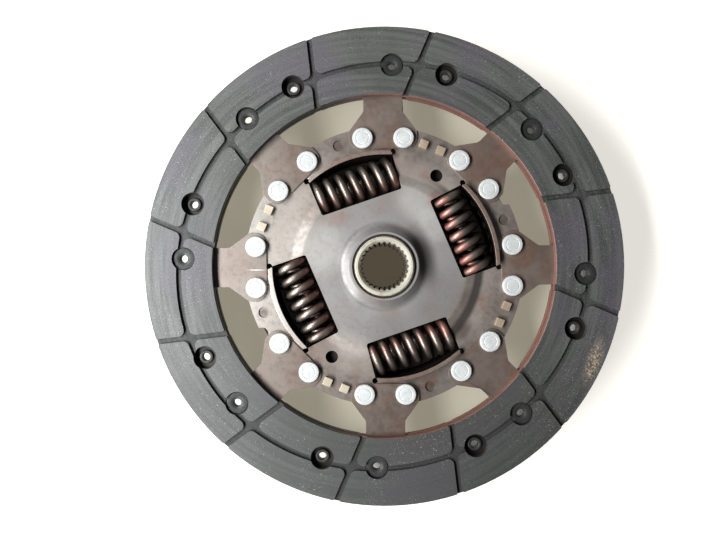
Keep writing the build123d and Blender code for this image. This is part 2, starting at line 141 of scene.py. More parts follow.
def turned_shape(profile_mm, steps):
    """Points and faces of a closed profile turned about Z.

    A point (radius, height) of the profile is carried round a full circle in equal steps, so at
    angle a it is (radius cos a, radius sin a, height).
    """
    radius, height = np.asarray(profile_mm, float).T
    angle = np.arange(steps)[:, None] * (2 * math.pi / steps)
    points = np.stack(np.broadcast_arrays(np.cos(angle) * radius, np.sin(angle) * radius,
                                          height), -1)
    return points.reshape(-1, 3), grid_faces(steps, len(radius), closed=True)


def rounded(corners, arc_points=5):
    """Loop of (radius, height) with each corner (radius, height, rounding) cut to an arc.

    Each arc is a quadratic curve from one side of the corner to the other, with the corner
    itself as its control point: (1 - t)^2 start + 2 t (1 - t) corner + t^2 end.
    """
    t = np.linspace(0, 1, arc_points)[:, None]
    loop = []
    for i, corner in enumerate(corners):
        here = np.array(corner[:2], float)
        if len(corner) < 3:
            loop.append(here[None])
            continue
        to_before = np.array(corners[i - 1][:2], float) - here
        to_after = np.array(corners[(i + 1) % len(corners)][:2], float) - here
        start = here + to_before / np.linalg.norm(to_before) * corner[2]
        end = here + to_after / np.linalg.norm(to_after) * corner[2]
        loop.append((1 - t) ** 2 * start + 2 * t * (1 - t) * here + t * t * end)
    return np.concatenate(loop)


def set_round(name, profile_mm, steps, circle_mm, degrees, mirrored=False):
    """One object of the same turned shape set round the hub; mirrored, it faces the rear.

    Each copy is moved out to the circle, turned about the hub's axis by its own angle and lifted
    to the flange's middle.
    """
    points, faces = turned_shape(profile_mm, steps)
    if mirrored:
        points = points * (1, 1, -1)
        faces = faces[:, ::-1]
    copies = [(points + (circle_mm, 0, 0)) @ turn_about_z(a).T + (0, 0, MIDDLE_MM)
              for a in degrees]
    first = np.arange(len(degrees))[:, None, None] * len(points)
    return mesh_object(name, np.concatenate(copies), (faces + first).reshape(-1, 4).tolist())


def coil(name, degrees, diameter, thickness, working, closed, hand, steps=46, sides=20):
    """Round-wire coil spring with closed, ground ends, lying in its window.

    The wire's middle runs on a helix: after t turns it is at (R cos w, R sin w, h), where w is
    the hand times 2 pi t, and h rises by one wire a turn in the closed ends and evenly between
    them. A circle of the wire's radius is carried along it, square to its direction, and cut off
    flat at the spring's two ends. The helix's axis is then laid across the disc's radius.

    Its points carry "inward", 0 on the spring's outer side and 1 on the side nearest the hub,
    and "upright", the share of a point's normal that stands along the disc's axis.
    """
    radius = (diameter - thickness) / 2
    height = SPRING_LENGTH_MM - thickness / 2
    turns = working + 2 * closed
    lead = (height - 2 * closed * thickness) / working
    t = np.linspace(0, turns, int(turns * steps) + 1)
    tight = np.minimum(t, closed) + np.maximum(0, t - closed - working)
    rise = tight * thickness + (t - tight) * lead - height / 2
    wind = 2 * math.pi * (t - turns / 2) * hand
    middle = np.stack([radius * np.cos(wind), radius * np.sin(wind), rise], 1)
    out = np.stack([np.cos(wind), np.sin(wind), np.zeros_like(wind)], 1)
    heading = np.gradient(middle, axis=0)
    heading /= np.linalg.norm(heading, axis=1)[:, None]
    up = np.cross(heading, out)
    phi = np.arange(sides)[None, :, None] * (2 * math.pi / sides)
    normals = np.cos(phi) * out[:, None] + np.sin(phi) * up[:, None]
    points = (middle[:, None] + normals * (thickness / 2)).reshape(-1, 3)
    points[:, 2] = np.clip(points[:, 2], -SPRING_LENGTH_MM / 2, SPRING_LENGTH_MM / 2)
    # The quads are turned over to face outwards, and still start from the same corner.
    walls = np.roll(grid_faces(len(t), sides, closed=False)[:, ::-1], 1, axis=1)
    start = np.arange(sides)[::-1]
    end = np.arange(sides) + (len(t) - 1) * sides
    faces = walls[:, ::hand].tolist() + [start[::hand].tolist(), end[::hand].tolist()]
    laid = np.stack([SPRING_CIRCLE_MM - points[:, 1], -points[:, 2], points[:, 0]], 1)
    piece = mesh_object(name, laid @ turn_about_z(degrees).T + (0, 0, MIDDLE_MM), faces,
                        smooth_deg=50)
    give_points(piece, "inward", (SPRING_CIRCLE_MM + diameter / 2 - laid[:, 0]) / diameter)
    give_points(piece, "upright", abs(normals[:, :, 0]))
    return piece


def make_room(shape):
    """Lowers the inner edges of the flange's windows, which the springs near as they turn.

    A point h above the edge goes towards the axis by ROOM_MM times 1 - h / ROOM_FADE_MM.
    """
    for point in shape.verts:
        for degrees in SPRING_DEG:
            a = math.radians(degrees)
            outward = Vector((math.cos(a), math.sin(a), 0))
            height = point.co.dot(outward) * 1000 - FLANGE_EDGE_MM
            beside = abs(point.co.dot(Vector((-outward.y, outward.x, 0)))) * 1000
            if -0.1 < height < ROOM_FADE_MM and beside < ROOM_BESIDE_MM:
                point.co -= outward * ROOM_MM * (1 - height / ROOM_FADE_MM) / 1000


def softened(node, name, width_mm, segments=2, sharper_than_deg=28, smooth_deg=40, reshape=None):
    """Copy of a solid with its sharp edges worn to a small round; the solid is untouched."""
    mesh = NODES[node].data.copy()
    mesh.materials.clear()
    shape = bmesh.new()
    shape.from_mesh(mesh)
    if reshape is not None:
        reshape(shape)
    bmesh.ops.remove_doubles(shape, verts=shape.verts, dist=WELD_M)
    bmesh.ops.dissolve_limit(shape, angle_limit=math.radians(FLAT_DEG), verts=shape.verts,
                             edges=shape.edges)
    for face in shape.faces:
        face.smooth = True
    shape.to_mesh(mesh)
    shape.free()
    draft = bpy.data.objects.new(name + "_draft", mesh)
    bpy.context.scene.collection.objects.link(draft)
    worn = draft.modifiers.new("worn", "BEVEL")
    worn.width = width_mm / 1000
    worn.segments = segments
    worn.limit_method = "ANGLE"
    worn.angle_limit = math.radians(sharper_than_deg)
    worn.use_clamp_overlap = True
    worn.harden_normals = False
    final = bpy.data.meshes.new_from_object(
        draft.evaluated_get(bpy.context.evaluated_depsgraph_get()))
    bpy.data.objects.remove(draft)
    bpy.data.meshes.remove(mesh)
    final.name = name
    piece = shown(name, final, smooth_deg)
    even = piece.modifiers.new("even shading", "WEIGHTED_NORMAL")
    even.keep_sharp = True
    return piece


def mark_shaded(plate):
    """Gives a guide plate "shaded", 1 on what looks into the damper, painted dark as
    shade, with oil and dirt.

    That is its inner face, and the walls of its lips up to just below their tips. The edge
    between a lip and the plate's outer face stays light.
    """
    x, y, z = places_mm(plate.data).T
    radius, angle = np.hypot(x, y), np.degrees(np.arctan2(y, x))
    from_middle = abs(z - MIDDLE_MM)
    by_window = np.any([abs((angle - a + 180) % 360 - 180) < WINDOW_HALF_DEG
                        for a in SPRING_DEG], axis=0)
    lip_walls = ((radius > LIP_INNER_MM - 0.05) & (radius < LIP_OUTER_MM - 0.05)
                 & (from_middle < LIP_TIP_MM - 0.2) & (abs(from_middle - RIM_FACE_MM) > 0.02))
    give_points(plate, "shaded", (from_middle < INSIDE_FACE_MM + 0.4) | (lip_walls & by_window))


# ---- Making materials ----


def srgb(red, green, blue):
    """A colour as it looks on a screen, 0 to 255, as the linear one that a shader takes."""
    return tuple((c / 255 / 12.92) if c <= 10 else ((c / 255 + 0.055) / 1.055) ** 2.4
                 for c in (red, green, blue)) + (1.0,)


def put(tree, kind, values=None, **settings):
    """Adds a node with its settings, and sets or links its inputs by name or number."""
    node = tree.nodes.new(kind)
    for key, value in settings.items():
        setattr(node, key, value)
    feed(tree, node, values or {})
    return node


def feed(tree, node, values):
    """Sets or links a node's inputs by name or number."""
    for key, value in values.items():
        if isinstance(value, bpy.types.NodeSocket):
            tree.links.new(value, node.inputs[key])
        else:
            node.inputs[key].default_value = value


def calc(tree, operation, a, b=0.5, clamp=False):
    """Result of one Math node."""
    return put(tree, "ShaderNodeMath", {0: a, 1: b}, operation=operation,
               use_clamp=clamp).outputs[0]


def times(tree, a, b, clamp=False):
    """Product of two values."""
    return calc(tree, "MULTIPLY", a, b, clamp)


def plus(tree, a, b, clamp=False):
    """Sum of two values."""
    return calc(tree, "ADD", a, b, clamp)


def span(tree, value, low, high, to_low=0.0, to_high=1.0):
    """value carried from one range to another with a smooth ramp, held at both ends."""
    return put(tree, "ShaderNodeMapRange", {0: value, 1: low, 2: high, 3: to_low, 4: to_high},
               interpolation_type="SMOOTHSTEP").outputs[0]


def mixed(tree, factor, a, b):
    """Result of mixing two colours, a where the factor is 0 and b where it is 1."""
    return put(tree, "ShaderNodeMix", {0: factor, 6: a, 7: b}, data_type="RGBA",
               clamp_factor=True).outputs[2]


def noise(tree, place, scale, detail=4.0, roughness=0.55, distortion=0.0):
    """Noise from 0 to 1 at a scale in cycles a metre."""
    return put(tree, "ShaderNodeTexNoise",
               {"Vector": place, "Scale": scale, "Detail": detail, "Roughness": roughness,
                "Distortion": distortion}).outputs[0]


def point_value(tree, name):
    """Attribute of a piece's points, 0 on a piece that has none."""
    return put(tree, "ShaderNodeAttribute", attribute_name=name).outputs["Fac"]


def bumped(tree, shader, height, strength, distance_mm):
    """Sets the shader's normal from a height."""
    bump = put(tree, "ShaderNodeBump", {"Height": height, "Strength": strength,
                                        "Distance": distance_mm / 1000})
    feed(tree, shader, {"Normal": bump.outputs[0]})


# Groups for what several materials share.


def shared(name, inputs, outputs):
    """Empty node group with its sockets, and the outputs of its input node."""
    tree = bpy.data.node_groups.new(name, "ShaderNodeTree")
    for label, kind in inputs:
        tree.interface.new_socket(label, in_out="INPUT", socket_type="NodeSocket" + kind)
    for label, kind in outputs:
        tree.interface.new_socket(label, in_out="OUTPUT", socket_type="NodeSocket" + kind)
    return tree, tree.nodes.new("NodeGroupInput").outputs


def place_group():
    """Object coordinates, with their X and Z by themselves and the distance from the hub's axis.

    Round is a place for patterns that are drawn out along circles about the axis: the radius
    counts in full in it and the way round only a little.
    """
    tree, _ = shared("place on the disc", [],
                     [("Place", "Vector"), ("Radius", "Float"), ("Round", "Vector"),
                      ("Across", "Float"), ("Height", "Float")])
    place = put(tree, "ShaderNodeTexCoord").outputs["Object"]
    x, y, z = put(tree, "ShaderNodeSeparateXYZ", {0: place}).outputs
    radius = calc(tree, "SQRT", plus(tree, times(tree, x, x), times(tree, y, y)))
    slight = put(tree, "ShaderNodeVectorMath", {0: place, "Scale": 0.06}, operation="SCALE")
    outward = put(tree, "ShaderNodeCombineXYZ", {0: radius, 1: 0.0, 2: z})
    around = put(tree, "ShaderNodeVectorMath", {0: slight.outputs[0], 1: outward.outputs[0]},
                 operation="ADD")
    put(tree, "NodeGroupOutput", {"Place": place, "Radius": radius, "Round": around.outputs[0],
                                  "Across": x, "Height": z})
    return tree


def flecks_group():
    """Small scattered specks: 1 on a speck, 0 between them. Share of the cells hold one."""
    tree, given = shared("scattered specks",
                         [("Place", "Vector"), ("Scale", "Float"), ("Share", "Float"),
                          ("Size", "Float")],
                         [("Specks", "Float")])
    cells = put(tree, "ShaderNodeTexVoronoi", {"Vector": given["Place"], "Scale": given["Scale"],
                                               "Randomness": 1.0})
    tone = put(tree, "ShaderNodeSeparateColor", {0: cells.outputs["Color"]})
    chosen = calc(tree, "LESS_THAN", tone.outputs[0], given["Share"])
    size = times(tree, given["Size"], tone.outputs[1])
    near = calc(tree, "LESS_THAN", cells.outputs["Distance"], size)
    put(tree, "NodeGroupOutput", {"Specks": times(tree, chosen, near)})
    return tree


def oval_patch_group():
    """Soft oval patch, seen along the hub's axis: 1 in its middle, 0 from its edge outwards."""
    tree, given = shared("oval patch",
                         [("Place", "Vector"), ("Middle", "Vector"), ("Half Size", "Vector"),
                          ("Turn", "Vector")],
                         [("Patch", "Float")])
    moved = put(tree, "ShaderNodeMapping",
                {"Vector": given["Place"], "Location": given["Middle"],
                 "Rotation": given["Turn"], "Scale": given["Half Size"]}, vector_type="TEXTURE")
    away = put(tree, "ShaderNodeVectorMath", {0: moved.outputs[0]}, operation="LENGTH")
    put(tree, "NodeGroupOutput", {"Patch": span(tree, away.outputs["Value"], 1.0, 0.3)})
    return tree


def toward_minus_y_group():
    """Darker towards -Y: 0 before Start, and Share past End."""
    tree, given = shared("darker towards minus y",
                         [("Place", "Vector"), ("Start", "Float"), ("End", "Float"),
                          ("Share", "Float")],
                         [("Darkening", "Float")])
    y = put(tree, "ShaderNodeSeparateXYZ", {0: given["Place"]}).outputs["Y"]
    darkening = times(tree, span(tree, y, given["Start"], given["End"]), given["Share"])
    put(tree, "NodeGroupOutput", {"Darkening": darkening})
    return tree


def blotches_group():
    """Metal in two tones that run into each other in clouds, with its clouds and fine grain."""
    tree, given = shared("blotchy metal",
                         [("Place", "Vector"), ("Pale", "Color"), ("Dark", "Color"),
                          ("Cloud Scale", "Float"), ("Cloud Detail", "Float"),
                          ("Grain Scale", "Float"), ("Grain Detail", "Float"),
                          ("Grain Roughness", "Float")],
                         [("Colour", "Color"), ("Cloud", "Float"), ("Grain", "Float")])
    cloud = noise(tree, given["Place"], given["Cloud Scale"], given["Cloud Detail"])
    grain = noise(tree, given["Place"], given["Grain Scale"], given["Grain Detail"],
                  given["Grain Roughness"])
    colour = mixed(tree, span(tree, cloud, 0.3, 0.7), given["Pale"], given["Dark"])
    put(tree, "NodeGroupOutput", {"Colour": colour, "Cloud": cloud, "Grain": grain})
    return tree


PLACE = place_group()
FLECKS = flecks_group()
OVAL_PATCH = oval_patch_group()
TOWARD_MINUS_Y = toward_minus_y_group()
BLOTCHES = blotches_group()


def grouped(tree, group, values=None):
    """Outputs of a group placed in a material with its own values."""
    return put(tree, "ShaderNodeGroup", values, node_tree=group).outputs


def specks(tree, place, scale, share, size):
    """Mask of small scattered specks."""
    return grouped(tree, FLECKS, {"Place": place, "Scale": scale, "Share": share,
                                  "Size": size})[0]


def oval_patch(tree, place, middle_mm, half_mm, turn_deg):
    """Mask of a soft oval patch, turned anticlockwise."""
    return grouped(tree, OVAL_PATCH, {
        "Place": place, "Middle": (middle_mm[0] / 1000, middle_mm[1] / 1000, 0),
        "Half Size": (half_mm[0] / 1000, half_mm[1] / 1000, 1000),
        "Turn": (0, 0, math.radians(turn_deg))})[0]


def darker_toward_minus_y(tree, place, start_mm, end_mm, share):
    """Mask that is darker towards -Y."""
    return grouped(tree, TOWARD_MINUS_Y, {"Place": place, "Start": start_mm / 1000,
                                 "End": end_mm / 1000, "Share": share})[0]


def blotches(tree, place, pale, dark, cloud, grain, detail=4.0, grain_roughness=0.55):
    """Two-tone colour, its clouds and its grain, from the scales of the two noises."""
    return grouped(tree, BLOTCHES, {
        "Place": place, "Pale": pale, "Dark": dark, "Cloud Scale": cloud,
        "Cloud Detail": detail, "Grain Scale": grain, "Grain Detail": detail,
        "Grain Roughness": grain_roughness})


def tinted(tree, colour, tone, mask, share=1.0):
    """The colour with a tone laid over it by a mask, times a share."""
    return mixed(tree, mask if share == 1.0 else times(tree, mask, share), colour, tone)


def by_radius(tree, at, low_mm, high_mm, to_low=0.0, to_high=1.0):
    """Ramp over the distance from the hub's axis."""
    return span(tree, at["Radius"], low_mm / 1000, high_mm / 1000, to_low, to_high)


def by_height(tree, at, low_mm, high_mm):
    """Ramp over the height."""
    return span(tree, at["Height"], low_mm / 1000, high_mm / 1000)


def eastward(tree, at, low_mm, high_mm):
    """Ramp along X, 0 before the first place and 1 past the second."""
    return span(tree, at["Across"], low_mm / 1000, high_mm / 1000)


def band(tree, at, middle_mm, half_mm):
    """Soft ring round the axis, 1 at its middle radius."""
    away = calc(tree, "ABSOLUTE", calc(tree, "SUBTRACT", at["Radius"], middle_mm / 1000))
    return span(tree, away, half_mm / 1000, half_mm / 4000)


def material(name, **surface):
    """New material and its tree, Principled shader and place outputs; surface sets its inputs."""
    made = bpy.data.materials.new(name)
    made.use_nodes = True
    tree = made.node_tree
    tree.nodes.clear()
    shader = put(tree, "ShaderNodeBsdfPrincipled", surface)
    put(tree, "ShaderNodeOutputMaterial", {0: shader.outputs[0]})
    return made, tree, shader, grouped(tree, PLACE)


# ---- The finishes ----

LINING_BORE_MM = (82.1, 81.8)           # ramps, from nothing to all of what they bring in
LINING_PAST_BORE_MM = (81.8, 82.2)
LINING_BORE_HEIGHT_MM = (26.2, 25.5)
LINING_SUNK_MM = (25.6, 25.0)
LINING_INNER_BLOCKS_MM = (94.0, 88.0)

COLLAR_SIDE_MM = (25.7, 25.2)           # the cone below the collar's bright rim
LIP_HEIGHT_MM = (23.0, 23.6)
LIP_RADIUS_MM = (50.0, 51.0)
PLATEAU_MM = (44.0, 32.0)
FOOT_RING_MM = (20.7, 1.6)              # middle radius and half width
STEP_RING_MM = (45.8, 3.2)

HUB_TEETH_MM = (12.1, 11.2)
HUB_GREASE_AND_SHADE_MM = (26.2, 25.0)


def lining_material():
    """Dark dry friction lining: fine grit, pale flecks, wear round the disc, rust on its bore,
    and painted shade in its bore and grooves.
    """
    made, tree, shader, at = material("friction lining", Metallic=0.0)
    worn = noise(tree, at["Round"], 420, 5)
    cloud = noise(tree, at["Place"], 28, 4)
    grit = noise(tree, at["Place"], 2600, 3, 0.6)
    colour = mixed(tree, span(tree, worn, 0.36, 0.64), srgb(58, 60, 57), srgb(94, 95, 91))
    colour = tinted(tree, colour, srgb(88, 80, 90), span(tree, cloud, 0.45, 0.65, 0, 0.65))
    colour = tinted(tree, colour, srgb(60, 62, 57), span(tree, cloud, 0.5, 0.3, 0, 0.5))
    colour = tinted(tree, colour, srgb(34, 35, 34), span(tree, grit, 0.5, 0.66, 0, 0.8))
    colour = tinted(tree, colour, srgb(112, 113, 110), span(tree, grit, 0.5, 0.34, 0, 0.55))
    # Darker towards -Y.
    colour = tinted(tree, colour, srgb(44, 45, 42), darker_toward_minus_y(tree, at["Place"], -20, -75, 0.6))
    colour = tinted(tree, colour, srgb(48, 47, 44),
                    by_radius(tree, at, *LINING_INNER_BLOCKS_MM, 0, 0.2))
    pale = specks(tree, at["Place"], 1500.0, 0.07, 0.42)
    tiny = specks(tree, at["Place"], 3200.0, 0.16, 0.55)
    thick = span(tree, noise(tree, at["Place"], 65, 3), 0.38, 0.62, 0.15, 1.0)
    flecks = plus(tree, times(tree, pale, 0.62), times(tree, tiny, 0.45))
    colour = tinted(tree, colour, srgb(168, 168, 162), times(tree, flecks, thick, clamp=True))
    # Dirt and painted shade darken the grooves and the rivets' wells.
    sunk_dust_and_shade = times(tree, by_height(tree, at, *LINING_SUNK_MM),
                 by_radius(tree, at, *LINING_PAST_BORE_MM))
    colour = tinted(tree, colour, srgb(38, 38, 36), sunk_dust_and_shade, 0.5)
    # Rust has run down the bore on the +X side; towards -X the bore is painted black as shade.
    bore = times(tree, by_radius(tree, at, *LINING_BORE_MM),
                 by_height(tree, at, *LINING_BORE_HEIGHT_MM))
    rust = mixed(tree, noise(tree, at["Place"], 160, 4), srgb(104, 64, 54), srgb(146, 100, 86))
    bore_rust_and_shade = mixed(tree, eastward(tree, at, -30, 4), srgb(26, 25, 24), rust)
    colour = tinted(tree, colour, bore_rust_and_shade, bore, 0.92)
    # A sandy stain with loose grains near the rim.
    sandy = oval_patch(tree, at["Place"], (99.5, -45.3), (4.6, 15), -18)
    grains = span(tree, noise(tree, at["Place"], 1300, 4, 0.7), 0.47, 0.6)
    colour = tinted(tree, colour, srgb(180, 158, 128), times(tree, sandy, grains))
    feed(tree, shader, {"Base Color": colour,
                        "Roughness": span(tree, worn, 0.3, 0.7, 0.52, 0.44),
                        "Specular IOR Level": span(tree, sunk_dust_and_shade, 0, 1, 0.7, 0.3)})
    bumped(tree, shader, plus(tree, grit, times(tree, worn, 0.4)), 0.6, 0.12)
    return made


def sheet_material(name, pale, dark, rust, rust_share, roughness, metallic=0.55, centre=None,
                   light_west=None, shade_east=None, shade_past_mm=None, patches=()):
    """Pressed steel: soft clouds, small pits and rust that grows towards +X.

    centre is for a guide plate: the tone of its plateau, which also gets its lips' tone, pale
    as painted light towards -X, a faint dark ring at its collar's foot and painted shade on its
    step's slope towards +X. The -X side's tint is painted light, as it faces the lamp, and the
    +X side's tint painted shade. Past the radius given for it, a sheet lies between the linings,
    painted black as shade, with dirt. Points marked shaded are painted dark as shade, with oil
    and dirt.
    """
    made, tree, shader, at = material(name, Metallic=metallic)
    colour, cloud, fine = blotches(tree, at["Place"], pale, dark, 45, 420, detail=5,
                                   grain_roughness=0.62)
    across = eastward(tree, at, -50, 40)
    # Painted light on the -X side, which faces the lamp, and painted shade on the +X side.
    if light_west is not None:
        colour = tinted(tree, colour, light_west, eastward(tree, at, -30, -75))
    if shade_east is not None:
        colour = tinted(tree, colour, shade_east, span(tree, across, 0.3, 1.0, 0.0, 0.8))
    patch = noise(tree, at["Place"], 75, 6, 0.6, 0.4)
    rusty = times(tree, span(tree, patch, 0.62 - rust_share, 0.8 - rust_share * 0.5),
                  span(tree, across, 0.0, 0.8, 0.35, 1.0))
    if centre is not None:
        colour = tinted(tree, colour, centre, by_radius(tree, at, *PLATEAU_MM), 0.75)
        lips = times(tree, by_height(tree, at, *LIP_HEIGHT_MM),
                     by_radius(tree, at, *LIP_RADIUS_MM))
        # Painted light: the lips' tops are pale towards -X, where they face the lamp, and rusty
        # brown elsewhere.
        lip_light_and_rust = mixed(tree, eastward(tree, at, -46, -22), srgb(212, 208, 200),
                         srgb(140, 112, 100))
        colour = tinted(tree, colour, lip_light_and_rust, lips, 0.6)
        rusty = times(tree, rusty, by_radius(tree, at, 30, 50, 0.45, 1.0))
    colour = tinted(tree, colour, rust, rusty, 0.8)
    colour = tinted(tree, colour, dark, span(tree, fine, 0.45, 0.75, 0, 0.35))
    colour = tinted(tree, colour, srgb(64, 54, 50), specks(tree, at["Place"], 900.0, 0.05, 0.3),
                    0.35)
    # Darker towards -Y.
    colour = tinted(tree, colour, srgb(60, 50, 44), darker_toward_minus_y(tree, at["Place"], -15, -75, 0.28))
    if centre is not None:
        # Painted shade on the step's slope towards +X, which faces away from the lamp, and a
        # faint dark ring at the collar's foot.
        step = times(tree, band(tree, at, *STEP_RING_MM), eastward(tree, at, 14, 34))
        step_shade_and_foot_ring = plus(tree, times(tree, band(tree, at, *FOOT_RING_MM), 0.25),
                    times(tree, step, 0.9))
        colour = tinted(tree, colour, srgb(56, 53, 50), step_shade_and_foot_ring)
    below_rim = by_height(tree, at, *COLLAR_SIDE_MM)
    # Real marks, and patches of painted highlight, shade and shadow.
    for middle_mm, half_mm, turn_deg, tone, share in patches:
        mark = times(tree, oval_patch(tree, at["Place"], middle_mm, half_mm, turn_deg), below_rim)
        colour = tinted(tree, colour, tone, mark, share)
    # Points marked shaded are painted dark: shade, with oil and dirt, inside the damper.
    shaded = point_value(tree, "shaded")
    colour = tinted(tree, colour, srgb(22, 18, 16), shaded, 0.94)
    # Past this radius a segment lies between the linings, painted black as shade, with dirt.
    if shade_past_mm is not None:
        between = by_radius(tree, at, shade_past_mm, shade_past_mm + 1)
        colour = tinted(tree, colour, srgb(28, 26, 24), between, 0.9)
    rough = span(tree, fine, 0.3, 0.7, roughness - 0.07, roughness + 0.09)
    if centre is not None:
        rough = plus(tree, rough, by_radius(tree, at, 58, 48, 0, 0.24))
    feed(tree, shader, {"Base Color": colour, "Roughness": rough,
                        "Specular IOR Level": span(tree, shaded, 0, 1, 0.5, 0.05)})
    bumped(tree, shader, plus(tree, times(tree, fine, 0.6), times(tree, cloud, 0.8)), 0.35, 0.15)
    return made


def spring_material():
    """Dull brown spring wire with copper and rust towards the hub; painted shade darkens its
    flanks, with some dirt, and the outer side of the springs towards +X.
    """
    made, tree, shader, at = material("spring wire")
    colour, cloud, fine = blotches(tree, at["Place"], srgb(166, 153, 143), srgb(120, 106, 98),
                                   130, 900)
    inward = point_value(tree, "inward")
    upright = point_value(tree, "upright")
    copper = times(tree, span(tree, inward, 0.45, 0.85), span(tree, cloud, 0.3, 0.55))
    colour = tinted(tree, colour, srgb(158, 108, 96), copper, 0.7)
    colour = tinted(tree, colour, srgb(60, 48, 42), span(tree, fine, 0.5, 0.75, 0, 0.5))
    # Painted shade on the outer half of the springs towards +X, which faces away from the lamp.
    outer = times(tree, span(tree, inward, 0.5, 0.25), eastward(tree, at, 20, 40))
    colour = tinted(tree, colour, srgb(92, 78, 70), outer, 0.6)
    rusty = times(tree, span(tree, inward, 0.4, 0.7), eastward(tree, at, 14, 34))
    rusty = times(tree, rusty, span(tree, cloud, 0.3, 0.6, 0.6, 1.0))
    colour = tinted(tree, colour, srgb(158, 98, 88), rusty, 0.8)
    # Painted shade, with some dirt, on the wire's flanks that face the gaps between coils.
    colour = tinted(tree, colour, srgb(38, 31, 28), span(tree, upright, 0.86, 0.45), 0.75)
    feed(tree, shader, {"Base Color": colour, "Metallic": span(tree, rusty, 0, 1, 0.85, 0.45),
                        "Roughness": span(tree, fine, 0.3, 0.7, 0.35, 0.49)})
    bumped(tree, shader, fine, 0.25, 0.08)
    return made


def rivet_material():
    """Pale dull plating with faint press marks."""
    made, tree, shader, at = material("plated rivet", Metallic=0.2)
    colour, cloud, fine = blotches(tree, at["Place"], srgb(209, 211, 209), srgb(192, 195, 193),
                                   240, 1100)
    colour = tinted(tree, colour, srgb(158, 160, 157), span(tree, fine, 0.5, 0.75, 0, 0.6))
    feed(tree, shader, {"Base Color": colour,
                        "Roughness": span(tree, fine, 0.3, 0.7, 0.56, 0.7)})
    bumped(tree, shader, plus(tree, cloud, fine), 0.45, 0.1)
    return made


def dark_rivet_material():
    """Brass-plated tubular rivet gone dark grey, painted darker still as shade in its deep well.
    """
    made, tree, shader, at = material("tubular rivet", Metallic=0.4)
    fine = noise(tree, at["Place"], 900, 4)
    # Painted shade: the grey is darker than the plating, as the rivets sit in deep wells.
    feed(tree, shader, {
        "Base Color": mixed(tree, span(tree, fine, 0.3, 0.7), srgb(62, 62, 61), srgb(44, 44, 43)),
        "Roughness": span(tree, fine, 0.3, 0.7, 0.42, 0.6)})
    bumped(tree, shader, fine, 0.3, 0.08)
    return made


def hub_material():
    """Machined hub: turned rings on its end.

    Painted shade and old lubricant darken the teeth deep in its bore.
    """
    made, tree, shader, at = material("hub steel", Metallic=0.35)
    lathe = noise(tree, at["Round"], 1500, 3)
    cloud = noise(tree, at["Place"], 160, 4)
    colour = mixed(tree, span(tree, lathe, 0.3, 0.7), srgb(228, 222, 204), srgb(196, 188, 170))
    colour = tinted(tree, colour, srgb(150, 138, 120), span(tree, cloud, 0.5, 0.75, 0, 0.6))
    # Painted shade and old lubricant darken the teeth deep in the bore.
    grease_and_shade = times(tree, by_radius(tree, at, *HUB_TEETH_MM), by_height(tree, at, *HUB_GREASE_AND_SHADE_MM))
    colour = tinted(tree, colour, srgb(58, 52, 46), grease_and_shade, 0.9)
    feed(tree, shader, {"Base Color": colour,
                        "Roughness": plus(tree, span(tree, lathe, 0.3, 0.7, 0.28, 0.4),
                                          times(tree, grease_and_shade, 0.15))})
    bumped(tree, shader, lathe, 0.25, 0.08)
    return made


def moulded_material(name, base, dark):
    """Dark moulded part, hidden but for its edge."""
    made, tree, shader, at = material(name, Metallic=0.0)
    cloud = noise(tree, at["Place"], 200, 4)
    feed(tree, shader, {"Base Color": mixed(tree, cloud, base, dark),
                        "Roughness": span(tree, cloud, 0.3, 0.7, 0.5, 0.7)})
    bumped(tree, shader, cloud, 0.2, 0.1)
    return made


def floor_material():
    """Plain pale floor that shows white, with painted shadow where it is seen past the disc.

    That is inside the linings, more so under the plates, in the hub's bore, and through the
    rivets' holes on the +X side.
    """
    made, tree, shader, at = material("pale floor", Roughness=0.9)
    under_linings = times(tree, by_radius(tree, at, 120, 118), eastward(tree, at, -12, 0))
    inside_linings = by_radius(tree, at, 92, 86)
    under_plates = by_radius(tree, at, 66, 60)
    in_bore = by_radius(tree, at, 17, 15)
    # Painted shadow: darker inside the linings, much darker under the plates, brown-dark in the
    # bore.
    inside = mixed(tree, under_plates, srgb(154, 148, 132), srgb(16, 14, 12))
    inside = tinted(tree, inside, srgb(88, 80, 66), in_bore)
    # Painted shadow on the floor seen through the rivets' holes on the +X side.
    outside = mixed(tree, under_linings, srgb(236, 233, 226), srgb(84, 82, 78))
    ray = put(tree, "ShaderNodeLightPath").outputs
    seen = plus(tree, ray["Is Camera Ray"], ray["Is Glossy Ray"])
    seen = plus(tree, seen, ray["Is Transmission Ray"], clamp=True)
    glow = mixed(tree, seen, (0, 0, 0, 1), mixed(tree, inside_linings, outside, inside))
    # The floor's own colour also carries painted shadow inside the linings and under the plates.
    lit = mixed(tree, inside_linings, srgb(225, 223, 216), srgb(170, 164, 150))
    lit = tinted(tree, lit, srgb(60, 56, 50), under_plates)
    feed(tree, shader, {"Base Color": lit, "Specular IOR Level": 0.1, "Emission Color": glow,
                        "Emission Strength": 0.85})
    return made


def polar_mm(radius, degrees):
    """Place at a radius and an angle."""
    angle = math.radians(degrees)
    return radius * math.cos(angle), radius * math.sin(angle)


def marks(colour, *places):
    """Patches of one colour from (radius, angle, half sizes out and round, share); some are
    real marks, some painted highlight and shade.
    """
    return [(polar_mm(radius, degrees), half_mm, degrees, colour, share)
            for radius, degrees, half_mm, share in places]


# A mark is its middle, half sizes, turn, colour and share.
IN_DIMPLES = [(polar_mm(DIMPLE_CIRCLE_MM, a), DIMPLE_STAIN_MM, 0, srgb(84, 70, 60), 0.6)
              for a in DIMPLE_DEG]
# Painted highlights: soft pale glows on the plateau, the step and the collar's cone.
PAINTED_HIGHLIGHTS = marks(srgb(226, 224, 218), (36, 62, (14, 16), 0.34), (30, 40, (11, 12), 0.26),
                 (44.5, 160, (8, 13), 0.2), (31, 165, (15, 18), 0.22), (41, 245, (9, 14), 0.15),
                 (17.6, 195, (5.5, 17), 0.32))
